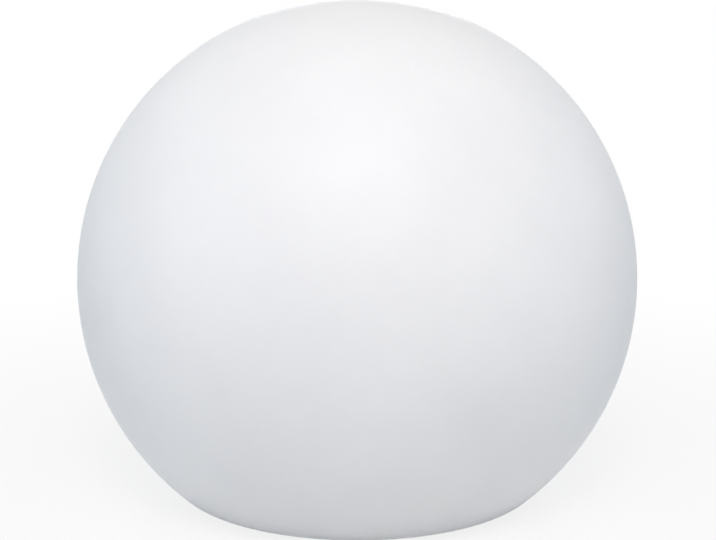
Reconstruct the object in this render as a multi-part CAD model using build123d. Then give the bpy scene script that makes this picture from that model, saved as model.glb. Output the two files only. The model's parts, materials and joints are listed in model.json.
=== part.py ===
"""Rechargeable garden globe light, in millimetres, +Z up, origin on the ground under its centre.

A hollow white polyethylene globe with a flat foot is closed from below by a round base module. The
module stands on four rubber feet and carries the battery, the electronics, the push button, the charging
port and, under a frosted dome, the light source. The globe turns and lifts off the module: three lugs
on the module's spigot run on three helical ledges inside the globe's neck, so the two come apart along
a screw motion, and a rubber ring on the spigot keeps the water out.
"""

from build123d import *

import math
import os

# ---- driving dimensions: the globe ------------------------------------------------------------------
globe_diameter = 300.0
globe_wall = 3.0
rim_width = 14.9  # from the recess to where the sphere would meet the flat rim
rim_gap = 2.0  # the flat rim above the ground
rim_blend = 9.0  # outer radius between the sphere and the flat rim
rim_fold = 4.0  # outer radius where the rim folds up into the recess
seat_corner = 2.0  # radius where the recess wall meets the seat
insert_radius = 3.0
insert_length = 8.0
insert_boss_wall = 3.3
insert_boss_cover = 1.5
moulded_gap = 0.02  # a brass bush in the plastic that was moulded round it
same_place = 1e-4  # two points closer than this are one

# ---- driving dimensions: the quick-lock between globe and module ------------------------------------
lock_lead = 60.0  # rise of the lugs and ledges in one full turn
lug_count = 3
lug_span = 40.0  # degrees
lug_height = 3.0
lug_reach = 3.2  # how far a lug stands out from the spigot
lug_play = 0.25  # between a lug's underside and the ledge below it
lug_play_angle = 0.3  # degrees between a lug's end and its stop
ledge_height = 3.0
stop_span = 5.0  # degrees
stop_height = 3.0
fit_gap = 0.3  # radial, between neck and lugs and between spigot and ledges
neck_wall = 4.0
neck_margin = 2.0  # neck above the highest stop
neck_gap = 1.0  # neck to the edge of the globe's opening
ring_flange_width = 14.5
ring_flange_thickness = 3.0
ring_gap = 0.3  # lock ring above the module's flange
ring_screw_count = 6
ring_screw_inset = 6.5  # screw circle inside the lock ring's edge
ring_screw_grip = 6.0  # screw length inside its bush
ring_gasket_thickness = 1.5
recess_gap = 2.5  # lock ring's edge to the recess wall
removal_clearance = 4.0  # globe's rim above the dome at the end of its travel
seal_section = 3.0
seal_gap = 0.1  # ring's outside to the neck
seal_seat_gap = 0.05  # ring's inside to the groove's floor
groove_side_gap = 0.2  # ring in the groove, on each side of its middle
land_margin = 2.0  # spigot on each side of the groove
ledge_gap = 0.5  # ledges above the spigot's thick land

# ---- driving dimensions: the base module's housing and cover ----------------------------------------
foot_stand_out = 1.5
foot_radius = 8.0
foot_recess = 1.5
foot_edge_margin = 3.0
foot_bevel = 0.5
foot_count = 4
cover_thickness = 3.0
cover_edge = 1.2
tray_gap = 2.0  # tray's edge to the recess wall of the globe
tray_lip = 2.2
tray_fit = 0.3
flange_thickness = 3.0
battery_clearance = 3.4  # cradle's corner to the spigot's inside
spigot_wall = 2.5
cover_gasket_margin = 1.5
cover_gasket_width = 3.0
cover_gasket_thickness = 1.2
cover_screw_count = 8
cover_boss_radius = 4.0
cover_boss_bite = 0.8  # how far a cover boss is sunk in the spigot's wall
cover_boss_height = 10.0
cover_screw_grip = 8.0
cover_screw_head_height = 1.0
cover_screw_sink = 0.3  # how deep a cover screw's head sits in the cover
pocket_depth = 10.0
pocket_width = 24.0
pocket_length = 44.0
pocket_corner = 6.0
pocket_wall = 2.2
pocket_floor_round = 2.0
grip_bar_width = 12.0

# ---- driving dimensions: battery, boards and light source -------------------------------------------
board_clearance = 2.8  # solder side above the grip pockets
board_thickness = 1.6
board_edge_gap = 5.0  # board's edge to the housing's wall
board_post_radius = 3.5
board_post_inset = 6.1
board_post_angle = 30.0  # degrees either side of the X axis
board_screw_grip = 6.0
component_room = 6.4  # board's top to the battery cradle
cradle_plate = 2.5
cradle_ear = 11.3  # the plate beyond the end walls, for the screws
cradle_saddle = 6.0  # height of the saddles round the cells
cradle_wall = 2.5
cradle_screw_inset = 4.9  # from the cradle's edges, both ways
cradle_boss_radius = 4.0
cradle_screw_grip = 7.0
lead_notch_width = 15.0
lead_notch_depth = 10.0
cell_diameter = 18.4
cell_length = 65.2
cell_gap = 0.8  # between the two cells
cell_fit = 0.1  # cell to saddle
cell_tab_thickness = 0.5
cell_tab_width = 8.0
battery_pad_thickness = 1.6
battery_pad_length = 58.0
battery_pad_width = 30.0
deck_thickness = 3.0
spreader_thickness = 2.0
led_board_margin = 2.0  # spreader's edge beyond the board's
led_board_screw_inset = 3.5
led_board_screw_count = 3
led_board_screw_grip = 2.0
led_chip_size = 5.0
led_chip_height = 1.6
led_inner_count = 6
led_inner_radius = 15.0
led_outer_count = 12
led_outer_inset = 9.0  # outer ring of chips inside the board's edge
dome_gasket_thickness = 1.0
dome_flange_thickness = 2.5
dome_wall = 2.0
dome_spreader_gap = 1.0
dome_skirt = 7.0
dome_rise = 22.0
clamp_thickness = 2.0
clamp_width = 10.1
clamp_gap = 0.4
dome_screw_count = 6
dome_screw_inset = 5.0
dome_screw_grip = 6.0
dome_boss_radius = 3.5
dome_boss_extra = 1.5

# ---- driving dimensions: button, status light, charging port and vent -------------------------------
button_inset = 15.0  # button's centre inside the cavity's wall
button_radius = 6.0
button_hole_gap = 0.2
button_recess = 0.6  # button's face inside the cover's underside
button_edge = 0.8
button_flange_width = 1.5
button_flange_height = 1.2
button_boss_radius = 3.0
button_travel = 0.8
boot_gap = 0.5
boot_wall = 0.8
boot_spare = 0.7  # left between the pressed button's flange and the boot's roof
boot_rim_width = 3.5
boot_rim_height = 1.0
boot_ear_gap = 0.2  # boot's rim to the posts of the retainer's screws
retainer_gap = 0.3
retainer_height = 1.5
retainer_ear_x = 14.5
retainer_ear_radius = 3.0
retainer_screw_grip = 1.8
switch_size = 6.2
switch_height = 3.5
switch_stem_radius = 1.75
switch_stem_gap = 0.1
switch_stem_depth = 1.5
switch_bore_depth = 3.0
light_pipe_offset_x = -18.0  # from the button's centre
light_pipe_offset_y = 7.0
light_pipe_radius = 1.5
light_pipe_flange = 1.0
light_pipe_gap = 0.4
status_led_size = (3.2, 1.6, 1.1)
port_inset = 15.0  # port's centre inside the cavity's wall
port_pad_height = 2.5
port_pad_margin = 2.0
port_hole_radius = 4.8
door_width = 22.0
door_reach = 16.5  # hinge line to the door's free edge
door_hinge_offset = 8.2  # hinge line to the port's centre
door_thickness = 1.8
door_gap = 0.3
door_barrel_radius = 1.6
door_barrel_gap = 0.25
door_pin_radius = 0.75
door_pin_gap = 0.05  # pin in the door's barrel, which turns on it
door_pin_press_gap = 0.01  # pin in the cover, which holds it
door_pin_hold = 1.7  # how far the pin runs into the cover at each end
door_seal_radius = 4.3
door_seal_height = 2.5
door_seal_bevel = 0.6
door_nail_width = 10.0
door_nail_reach = 2.5
door_nail_depth = 1.5
socket_size = 10.0
socket_bore_radius = 2.95
socket_bore_depth = 7.5
socket_pin_radius = 1.0
socket_pin_setback = 0.8
vent_inset = 13.0  # breather's centre inside the cavity's wall
vent_cap_radius = 6.0
vent_cap_height = 1.2
vent_cap_recess = 0.2
vent_cap_gap = 0.3
vent_stem_radius = 4.0
vent_stem_gap = 0.1
vent_stem_end = 1.0
vent_bore_radius = 1.2
vent_chamber_radius = 3.0
vent_membrane_thickness = 0.4
vent_membrane_gap = 0.05
vent_nut_flats = 11.0
vent_nut_height = 3.0

# ---- driving dimensions: connectors, leads and board parts ------------------------------------------
led_header_offset = 3.0  # ribbon inside the outer ring of chips
led_header_size = (13.0, 5.0, 5.5)
ribbon_width = 9.2
ribbon_thickness = 1.2
ribbon_hump = 3.2
ribbon_bend = 1.6
ribbon_reach = 5.5
lead_slot_margin = 0.6
battery_header_size = (6.0, 8.0, 5.5)
battery_lead_radius = 0.8
battery_lead_spread = 4.0
battery_lead_bends = (2.5, 4.0)
battery_lead_drop = 6.0
controller_angle = -57.0  # round the board, as the angles below
controller_inset = 9.5  # inside the board's edge, as the insets below
controller_width = 9.0
controller_height = 1.2
driver_angles = (132.0, 55.0)
driver_inset = 7.5
driver_width = 5.0
driver_length = 6.2
driver_height = 1.6
inductor_angles = (237.0, 278.0)
inductor_inset = 8.5
inductor_size = 7.0
inductor_base = 1.0
inductor_core_radius = 3.0
inductor_height = 4.0
input_capacitor_angle = 260.0
input_capacitor_inset = 15.5
output_capacitor_angle = 9.0
output_capacitor_inset = 11.5
capacitor_radius = 3.2
capacitor_height = 5.6

# ---- driving dimensions: screws ---------------------------------------------------------------------
screw_radius = 1.5
screw_head_radius = 2.8
screw_head_height = 1.8
screw_head_edge = 0.4
small_screw_radius = 1.0
small_screw_head_radius = 1.9
small_screw_head_height = 1.2
pilot_gap = 0.05  # screw in the hole it bites into
pass_gap = 0.2  # screw in a hole it passes through
head_gap = 0.3
pilot_extra = 1.0  # pilot hole beyond the screw's tip
small_pilot_extra = 0.2

# ---- levels above the ground, from the feet up ------------------------------------------------------
cover_bottom = foot_stand_out
cover_top = cover_bottom + cover_thickness
flange_top = cover_top + flange_thickness
ring_bottom = flange_top + ring_gap
ring_flange_top = ring_bottom + ring_flange_thickness
seat_level = ring_flange_top + ring_gasket_thickness
rim_level = rim_gap
groove_width = seal_section + 2 * groove_side_gap
groove_low = flange_top + land_margin
groove_high = groove_low + groove_width
land_top = groove_high + land_margin
ledge_low = land_top + ledge_gap
lug_low = ledge_low + ledge_height + lug_play
ledge_span = lug_span + lug_play_angle + stop_span
neck_top = ledge_low + lock_lead * ledge_span / 360 + ledge_height + stop_height + neck_margin
pocket_top = cover_bottom + pocket_depth + pocket_wall
board_bottom = pocket_top + board_clearance
board_top = board_bottom + board_thickness
cradle_bottom = board_top + component_room
cradle_top = cradle_bottom + cradle_plate
cell_level = cradle_top + cell_diameter / 2
deck_bottom = cradle_top + cell_diameter + battery_pad_thickness
deck_top = deck_bottom + deck_thickness
spreader_top = deck_top + spreader_thickness
led_board_top = spreader_top + board_thickness
dome_bottom = deck_top + dome_gasket_thickness
dome_flange_top = dome_bottom + dome_flange_thickness
clamp_top = dome_flange_top + clamp_thickness
dome_shoulder = dome_flange_top + dome_skirt
dome_top = dome_shoulder + dome_rise
boot_roof = cover_top + button_flange_height + button_travel + boot_spare
boot_top = boot_roof + boot_wall
port_pad_top = cover_top + port_pad_height
hinge_level = cover_bottom + door_barrel_radius

# ---- radii, from the battery outwards ---------------------------------------------------------------
cradle_inner_length = cell_length + 2 * (cell_tab_thickness + cell_fit)
cradle_length = cradle_inner_length + 2 * (cradle_wall + cradle_ear)
cradle_width = 2 * cell_diameter + cell_gap + 2 * cradle_wall
cavity_radius = math.hypot(cradle_length, cradle_width) / 2 + battery_clearance
spigot_radius = cavity_radius + spigot_wall
land_radius = spigot_radius + lug_reach
neck_bore = land_radius + fit_gap
neck_radius = neck_bore + neck_wall
ledge_inner = spigot_radius + fit_gap
opening_radius = neck_radius + neck_gap
ring_radius = neck_radius + ring_flange_width
recess_radius = ring_radius + recess_gap
ring_screw_circle = ring_radius - ring_screw_inset
tray_radius = recess_radius - tray_gap
flange_radius = tray_radius - tray_lip - tray_fit
seal_circle = neck_bore - seal_gap - seal_section / 2
groove_radius = seal_circle - seal_section / 2 - seal_seat_gap
foot_circle = tray_radius - foot_edge_margin - foot_radius
cover_boss_circle = cavity_radius - cover_boss_radius + cover_boss_bite
cover_screw_seat = cover_bottom + cover_screw_head_height + cover_screw_sink
cover_gasket_inner = cavity_radius + cover_gasket_margin
board_radius = cavity_radius - board_edge_gap
dome_screw_circle = spigot_radius - dome_screw_inset
clamp_inner = spigot_radius - clamp_width
dome_outer = clamp_inner - clamp_gap
dome_inner = dome_outer - dome_wall
spreader_radius = dome_inner - dome_spreader_gap
led_board_radius = spreader_radius - led_board_margin
led_outer_radius = led_board_radius - led_outer_inset
led_screw_circle = led_board_radius - led_board_screw_inset
insert_boss_radius = insert_radius + insert_boss_wall
rim_corner = recess_radius + rim_width
globe_centre = rim_level + math.sqrt((globe_diameter / 2) ** 2 - rim_corner ** 2)

# ---- places across the module -----------------------------------------------------------------------
button_y = -(cavity_radius - button_inset)
light_pipe_x = light_pipe_offset_x
light_pipe_y = button_y + light_pipe_offset_y
port_y = cavity_radius - port_inset
hinge_y = port_y - door_hinge_offset
vent_x = -(cavity_radius - vent_inset)
led_header_y = led_outer_radius - led_header_offset
battery_header_x = -(cradle_length - lead_notch_depth) / 2

# ---- how far the moving pieces travel ---------------------------------------------------------------
globe_travel = dome_top - rim_level + removal_clearance
globe_turn = globe_travel / lock_lead * 360

UP = (Align.CENTER, Align.CENTER, Align.MIN)


def rod(radius, low, high, x=0.0, y=0.0):
    """An upright cylinder between two levels."""
    return Pos(x, y, low) * Cylinder(radius, high - low, align=UP)


def block(length, width, low, high, x=0.0, y=0.0):
    """An upright box between two levels."""
    return Pos(x, y, low) * Box(length, width, high - low, align=UP)


def turned(*outline):
    """A solid of revolution about Z from an outline of (radius, level) points."""
    face = make_face(Polyline(*[(r, 0, z) for r, z in outline], close=True))
    return revolve(face, Axis.Z)


def around(count, radius, first=0.0):
    """The (x, y) places of a circle of holes or pieces."""
    angles = [math.radians(first + 360 * k / count) for k in range(count)]
    return [(radius * math.cos(a), radius * math.sin(a)) for a in angles]


def helical_band(inner, outer, low, height, span, first):
    """A band that climbs with the quick-lock's lead: a rectangle swept along a helix."""
    path = Helix(pitch=lock_lead, height=lock_lead * span / 360, radius=(inner + outer) / 2)
    corners = [(inner, 0, 0), (outer, 0, 0), (outer, 0, height), (inner, 0, height)]
    section = make_face(Polyline(*corners, close=True))
    band = sweep(section, path=path, is_frenet=True)
    return Pos(0, 0, low) * Rot(0, 0, first) * band


def pan_screw(low, length, x, y, down=False, radius=screw_radius, head=screw_head_radius,
              head_height=screw_head_height):
    """A pan-head screw whose head's seat is at a level; it bites upwards, or downwards if down."""
    thread = rod(radius, 0, length)
    cap = rod(head, -head_height, 0)
    cap = chamfer(cap.edges().group_by(Axis.Z)[0], screw_head_edge)
    screw = thread + cap
    turn = Rot(180, 0, 0) if down else Rot(0, 0, 0)
    return Pos(x, y, low) * turn * screw


def sunk_screw(face, length, x, y, down=False):
    """A countersunk screw with its head flush with a face; it bites upwards, or downwards if down."""
    head_depth = screw_head_radius - screw_radius
    screw = turned((0, 0), (screw_head_radius, 0), (screw_radius, head_depth),
                   (screw_radius, length), (0, length))
    turn = Rot(180, 0, 0) if down else Rot(0, 0, 0)
    return Pos(x, y, face) * turn * screw


def sunk_hole(face, depth, x, y, down=False):
    """The hole that a countersunk screw passes through, with its head seated on the cone."""
    narrow = screw_radius + pass_gap
    hole = turned((0, 0), (screw_head_radius, 0), (narrow, screw_head_radius - narrow),
                  (narrow, depth), (0, depth))
    turn = Rot(180, 0, 0) if down else Rot(0, 0, 0)
    return Pos(x, y, face) * turn * hole


def wire(points, radius, bends):
    """An insulated lead along straight runs joined by arcs."""
    path = FilletPolyline(*points, radius=bends)
    section = Plane(origin=path @ 0, z_dir=path % 0) * Circle(radius)
    return sweep(section, path=path)


def group(pieces):
    """Separate solids that share one node."""
    return Compound(children=[p.solid() for p in pieces])


# ---- the globe and what is fastened to it -----------------------------------------------------------


def mirrored_corners(section, radius, level):
    """The two corners of a symmetrical section at a radius and a level."""
    return [v for v in section.vertices()
            if math.hypot(abs(v.X) - radius, v.Y - level) < same_place]


def globe_outline():
    """The globe's whole outside in section: a circle with a flat foot and a recess for the module."""
    ball = Pos(0, globe_centre) * Circle(globe_diameter / 2)
    keep = Pos(0, rim_level) * Rectangle(globe_diameter, globe_diameter,
                                         align=(Align.CENTER, Align.MIN))
    foot = ball & keep
    corners = foot.vertices().group_by(Axis.Y)[0]
    foot = fillet(corners, rim_blend)
    recess = Rectangle(2 * recess_radius, 2 * (seat_level - rim_level))
    outline = foot - Pos(0, rim_level) * recess
    outline = fillet(mirrored_corners(outline, recess_radius, rim_level), rim_fold)
    return fillet(mirrored_corners(outline, recess_radius, seat_level), seat_corner)


def globe_shell():
    """The rotationally moulded shell: one even wall, a trimmed opening and bosses for the bushes."""
    outside = globe_outline()
    inside = offset(outside, -globe_wall, kind=Kind.ARC)
    half = Rectangle(globe_diameter, 2 * globe_diameter, align=(Align.MIN, Align.MIN))
    wall = (outside - inside) & half
    wall -= Pos(0, seat_level) * Rectangle(2 * opening_radius, 4 * globe_wall)
    shell = revolve(Plane.XZ * wall, Axis.Z)
    boss_top = seat_level + insert_length + insert_boss_cover
    for x, y in around(ring_screw_count, ring_screw_circle):
        shell += rod(insert_boss_radius, seat_level + globe_wall / 2, boss_top, x, y)
    for x, y in around(ring_screw_count, ring_screw_circle):
        shell -= rod(insert_radius + moulded_gap, seat_level, seat_level + insert_length, x, y)
    return shell


def insert_bushes():
    """Brass bushes moulded into the globe, for the lock ring's screws."""
    bushes = []
    for x, y in around(ring_screw_count, ring_screw_circle):
        bush = rod(insert_radius, seat_level, seat_level + insert_length, x, y)
        bush -= rod(screw_radius + pilot_gap, seat_level, seat_level + insert_length, x, y)
        bushes.append(bush)
    return group(bushes)


def ring_gasket():
    """Flat gasket between the lock ring's flange and the globe's seat."""
    gasket = turned((opening_radius, ring_flange_top), (ring_radius, ring_flange_top),
                    (ring_radius, seat_level), (opening_radius, seat_level))
    for x, y in around(ring_screw_count, ring_screw_circle):
        gasket -= rod(screw_radius + pass_gap, ring_flange_top, seat_level, x, y)
    return gasket


def lock_ring():
    """The moulded ring in the globe's mouth: a flange, a neck and three helical ledges with stops."""
    ring = turned((neck_bore, ring_bottom), (ring_radius, ring_bottom),
                  (ring_radius, ring_flange_top), (neck_radius, ring_flange_top),
                  (neck_radius, neck_top), (neck_bore, neck_top))
    root = neck_bore + neck_wall / 2
    stop_first = lug_span + lug_play_angle
    stop_low = ledge_low + lock_lead * stop_first / 360
    for k in range(lug_count):
        first = 360 * k / lug_count
        ring += helical_band(ledge_inner, root, ledge_low, ledge_height, ledge_span, first)
        ring += helical_band(ledge_inner, root, stop_low, ledge_height + stop_height, stop_span,
                             first + stop_first)
    for x, y in around(ring_screw_count, ring_screw_circle):
        ring -= sunk_hole(ring_bottom, ring_flange_thickness, x, y)
    return ring


def ring_screws():
    """Countersunk screws that hold the lock ring to the globe."""
    length = seat_level - ring_bottom + ring_screw_grip
    return group([sunk_screw(ring_bottom, length, x, y)
                  for x, y in around(ring_screw_count, ring_screw_circle)])


def module_seal():
    """The rubber ring in the spigot's groove, on its lower side."""
    ring = Torus(seal_circle, seal_section / 2)
    return Pos(0, 0, groove_low + seal_section / 2) * ring


# ---- the base module's casing -----------------------------------------------------------------------


def lead_slot(low, high):
    """The slot that the light source's ribbon passes through."""
    return block(ribbon_width + 2 * lead_slot_margin, ribbon_thickness + 2 * lead_slot_margin,
                 low, high, 0, led_header_y)


def module_housing():
    """The upper casing: a flange, a spigot with the seal groove and lugs, and a deck with bosses."""
    housing = turned(
        (0, deck_bottom), (cavity_radius, deck_bottom), (cavity_radius, cover_top),
        (flange_radius, cover_top), (flange_radius, flange_top), (land_radius, flange_top),
        (land_radius, groove_low), (groove_radius, groove_low), (groove_radius, groove_high),
        (land_radius, groove_high), (land_radius, land_top), (spigot_radius, land_top),
        (spigot_radius, deck_top), (0, deck_top))
    root = spigot_radius - spigot_wall / 2
    for k in range(lug_count):
        housing += helical_band(root, land_radius, lug_low, lug_height, lug_span,
                                360 * k / lug_count)
    boss_top = cover_top + cover_boss_height
    half_step = 180 / cover_screw_count
    for x, y in around(cover_screw_count, cover_boss_circle, half_step):
        housing += rod(cover_boss_radius, cover_top, boss_top, x, y)
    dome_boss_low = deck_bottom - dome_boss_depth()
    for x, y in around(dome_screw_count, dome_screw_circle):
        housing += rod(dome_boss_radius, dome_boss_low, deck_bottom + deck_thickness / 2, x, y)
    for x, y in cradle_screw_places():
        housing += rod(cradle_boss_radius, cradle_top, deck_bottom + deck_thickness / 2, x, y)
    pilot = screw_radius + pilot_gap
    for x, y in around(cover_screw_count, cover_boss_circle, half_step):
        housing -= rod(pilot, cover_top, cover_top + cover_screw_grip + pilot_extra, x, y)
    for x, y in around(dome_screw_count, dome_screw_circle):
        housing -= rod(pilot, deck_top - dome_screw_grip - pilot_extra, deck_top, x, y)
    for x, y in cradle_screw_places():
        housing -= rod(pilot, cradle_top, cradle_top + cradle_screw_grip + pilot_extra, x, y)
    for x, y in led_screw_places():
        housing -= rod(pilot, deck_bottom, deck_top, x, y)
    return housing - lead_slot(deck_bottom, deck_top)


def dome_boss_depth():
    """How far a dome-screw boss hangs below the deck."""
    return dome_screw_grip - deck_thickness + pilot_extra + dome_boss_extra


def cradle_screw_places():
    """The four screws of the battery cradle."""
    x = cradle_length / 2 - cradle_screw_inset
    y = cradle_width / 2 - cradle_screw_inset
    return [(sx * x, sy * y) for sx in (-1, 1) for sy in (-1, 1)]


def board_post_places():
    """The four posts under the control board."""
    radius = board_radius - board_post_inset
    return (around(2, radius, board_post_angle) + around(2, radius, -board_post_angle))


def led_screw_places():
    """The screws through the light source's board, clear of the lead slot."""
    return around(led_board_screw_count, led_screw_circle, -90)


def retainer_screw_places():
    """The two screws of the button boot's retainer."""
    return [(-retainer_ear_x, button_y), (retainer_ear_x, button_y)]


def pocket_places():
    """The x of each finger pocket's centre, one on each side of the grip bar."""
    reach = (grip_bar_width + pocket_width) / 2
    return (-reach, reach)


def pocket_column(x, grow, low, high):
    """A finger pocket's rounded column, grown on every side."""
    plan = RectangleRounded(pocket_width + 2 * grow, pocket_length + 2 * grow, pocket_corner + grow)
    return extrude(Pos(x, 0, low) * plan, high - low)


def door_recess():
    """The recess in the cover for the port door and its hinge barrel."""
    near = hinge_y - door_barrel_radius - door_barrel_gap
    far = hinge_y + door_reach + door_gap
    width = door_width + 2 * door_gap
    plate = block(width, far - near, cover_bottom, cover_bottom + door_thickness + door_gap,
                  0, (near + far) / 2)
    reach = door_barrel_radius + door_barrel_gap
    barrel = block(width, 2 * reach, cover_bottom, hinge_level, 0, hinge_y)
    barrel += Pos(0, hinge_y, hinge_level) * Rot(0, 90, 0) * Cylinder(reach, width)
    nail = block(door_nail_width, door_nail_reach, cover_bottom, cover_bottom + door_nail_depth,
                 0, far + door_nail_reach / 2)
    return plate + barrel + nail


def base_cover():
    """The lower casing: a shallow tray with finger pockets, board posts, port pad and foot recesses."""
    cover = turned((0, cover_bottom), (tray_radius, cover_bottom), (tray_radius, flange_top),
                   (tray_radius - tray_lip, flange_top), (tray_radius - tray_lip, cover_top),
                   (0, cover_top))
    cover = fillet(cover.edges().group_by(Axis.Z)[0], cover_edge)
    pad_near = hinge_y - door_barrel_radius - door_barrel_gap - port_pad_margin
    pad_far = hinge_y + door_reach + door_gap + port_pad_margin
    pad_width = door_width + 2 * (door_gap + port_pad_margin)
    cover += block(pad_width, pad_far - pad_near, cover_top, port_pad_top, 0,
                   (pad_near + pad_far) / 2)
    for x in pocket_places():
        cover += pocket_column(x, pocket_wall, cover_bottom + cover_thickness / 2, pocket_top)
    for x, y in board_post_places():
        cover += rod(board_post_radius, cover_top, board_bottom, x, y)
    for x, y in retainer_screw_places():
        cover += rod(retainer_ear_radius, cover_top, cover_top + boot_rim_height, x, y)
    for x in pocket_places():
        column = pocket_column(x, 0, cover_bottom, cover_bottom + pocket_depth)
        cover -= fillet(column.edges().group_by(Axis.Z)[-1], pocket_floor_round)
    for x, y in board_post_places():
        cover -= rod(screw_radius + pilot_gap, board_bottom - board_screw_grip - pilot_extra,
                     board_bottom, x, y)
    post_top = cover_top + boot_rim_height
    hole_low = post_top - retainer_screw_grip - small_pilot_extra
    for x, y in retainer_screw_places():
        cover -= rod(small_screw_radius + pilot_gap, hole_low, post_top, x, y)
    for x, y in around(cover_screw_count, cover_boss_circle, 180 / cover_screw_count):
        cover -= rod(screw_radius + pass_gap, cover_bottom, cover_top, x, y)
        cover -= rod(screw_head_radius + head_gap, cover_bottom, cover_screw_seat, x, y)
    for x, y in around(foot_count, foot_circle, 180 / foot_count):
        cover -= rod(foot_radius, cover_bottom, cover_bottom + foot_recess, x, y)
    cover -= turned((cover_gasket_inner, cover_top - cover_gasket_thickness),
                    (cover_gasket_inner + cover_gasket_width, cover_top - cover_gasket_thickness),
                    (cover_gasket_inner + cover_gasket_width, cover_top),
                    (cover_gasket_inner, cover_top))
    cover -= rod(button_radius + button_hole_gap, cover_bottom, cover_top, 0, button_y)
    cover -= rod(light_pipe_radius, cover_bottom, cover_top, light_pipe_x, light_pipe_y)
    cover -= rod(vent_stem_radius + vent_stem_gap, cover_bottom, cover_top, vent_x)
    cover -= rod(vent_cap_radius + vent_cap_gap, cover_bottom,
                 cover_bottom + vent_cap_recess + vent_cap_height, vent_x)
    cover -= door_recess()
    cover -= rod(port_hole_radius, cover_bottom, port_pad_top, 0, port_y)
    pin_half = door_width / 2 + door_gap + door_pin_hold
    pin_hole = Rot(0, 90, 0) * Cylinder(door_pin_radius, 2 * pin_half)
    return cover - Pos(0, hinge_y, hinge_level) * pin_hole


def cover_gasket():
    """Rectangular gasket ring in the cover's groove."""
    low = cover_top - cover_gasket_thickness
    outer = cover_gasket_inner + cover_gasket_width
    return turned((cover_gasket_inner, low), (outer, low), (outer, cover_top),
                  (cover_gasket_inner, cover_top))


def cover_screws():
    """Pan-head screws from below, through the cover into the housing's bosses."""
    length = cover_top - cover_screw_seat + cover_screw_grip
    places = around(cover_screw_count, cover_boss_circle, 180 / cover_screw_count)
    return group([pan_screw(cover_screw_seat, length, x, y, head_height=cover_screw_head_height)
                  for x, y in places])


def foot_pads():
    """Four rubber feet set into the cover."""
    pads = []
    for x, y in around(foot_count, foot_circle, 180 / foot_count):
        pad = rod(foot_radius, 0, foot_stand_out + foot_recess, x, y)
        pads.append(chamfer(pad.edges().group_by(Axis.Z)[0], foot_bevel))
    return group(pads)


# ---- the light source -------------------------------------------------------------------------------


def heat_spreader():
    """Aluminium disc under the light source's board."""
    disc = rod(spreader_radius, deck_top, spreader_top)
    for x, y in led_screw_places():
        disc -= rod(screw_radius + pass_gap, deck_top, spreader_top, x, y)
    return disc - lead_slot(deck_top, spreader_top)


def led_board():
    """The round board that carries the light-emitting chips."""
    board = rod(led_board_radius, spreader_top, led_board_top)
    for x, y in led_screw_places():
        board -= rod(screw_radius + pass_gap, spreader_top, led_board_top, x, y)
    return board - lead_slot(spreader_top, led_board_top)


def led_chips():
    """Square surface-mounted chips: one in the middle and two rings, facing outwards."""
    top = led_board_top + led_chip_height
    chips = [block(led_chip_size, led_chip_size, led_board_top, top)]
    rings = ((led_inner_count, led_inner_radius, 0), (led_outer_count, led_outer_radius, 0.5))
    for count, radius, shift in rings:
        for k in range(count):
            chip = block(led_chip_size, led_chip_size, led_board_top, top, radius)
            chips.append(Rot(0, 0, 360 * (k + shift) / count) * chip)
    return group(chips)


def led_board_screws():
    """Screws through the board and spreader into the deck."""
    length = led_board_top - deck_top + led_board_screw_grip
    return group([pan_screw(led_board_top, length, x, y, down=True)
                  for x, y in led_screw_places()])


def dome_profile(radius, low, shoulder, rise):
    """Half a dome in section: a straight skirt and a shallow round cap."""
    cap_radius = (radius ** 2 + rise ** 2) / (2 * rise)
    centre = shoulder + rise - cap_radius
    half_angle = math.asin(radius / cap_radius) / 2
    mid = (cap_radius * math.sin(half_angle), 0, centre + cap_radius * math.cos(half_angle))
    cap = ThreePointArc((radius, 0, shoulder), mid, (0, 0, shoulder + rise))
    sides = Polyline((0, 0, shoulder + rise), (0, 0, low), (radius, 0, low), (radius, 0, shoulder))
    return make_face(sides + cap)


def light_dome():
    """The frosted cover over the light source: a flange, a skirt and a round cap of one wall."""
    dome = revolve(dome_profile(dome_outer, dome_bottom, dome_shoulder, dome_rise), Axis.Z)
    dome += rod(spigot_radius, dome_bottom, dome_flange_top)
    dome -= revolve(dome_profile(dome_inner, dome_bottom, dome_shoulder, dome_rise - dome_wall),
                    Axis.Z)
    for x, y in around(dome_screw_count, dome_screw_circle):
        dome -= rod(screw_radius + pass_gap, dome_bottom, dome_flange_top, x, y)
    return dome


def dome_gasket():
    """Flat gasket under the dome's flange."""
    gasket = turned((dome_outer, deck_top), (spigot_radius, deck_top),
                    (spigot_radius, dome_bottom), (dome_outer, dome_bottom))
    for x, y in around(dome_screw_count, dome_screw_circle):
        gasket -= rod(screw_radius + pass_gap, deck_top, dome_bottom, x, y)
    return gasket


def dome_clamp_ring():
    """The ring that presses the dome's flange down."""
    ring = turned((clamp_inner, dome_flange_top), (spigot_radius, dome_flange_top),
                  (spigot_radius, clamp_top), (clamp_inner, clamp_top))
    for x, y in around(dome_screw_count, dome_screw_circle):
        ring -= sunk_hole(clamp_top, clamp_thickness, x, y, down=True)
    return ring


def dome_screws():
    """Countersunk screws through the clamp ring, dome and gasket into the housing."""
    length = clamp_top - deck_top + dome_screw_grip
    return group([sunk_screw(clamp_top, length, x, y, down=True)
                  for x, y in around(dome_screw_count, dome_screw_circle)])


# ---- battery and control board ----------------------------------------------------------------------


def cell_places():
    """The y of each cell's axis."""
    reach = (cell_diameter + cell_gap) / 2
    return (-reach, reach)


def battery_cells():
    """Two round lithium cells, side by side along X."""
    cell = Rot(0, 90, 0) * Cylinder(cell_diameter / 2, cell_length)
    return group([Pos(0, y, cell_level) * cell for y in cell_places()])


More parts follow.
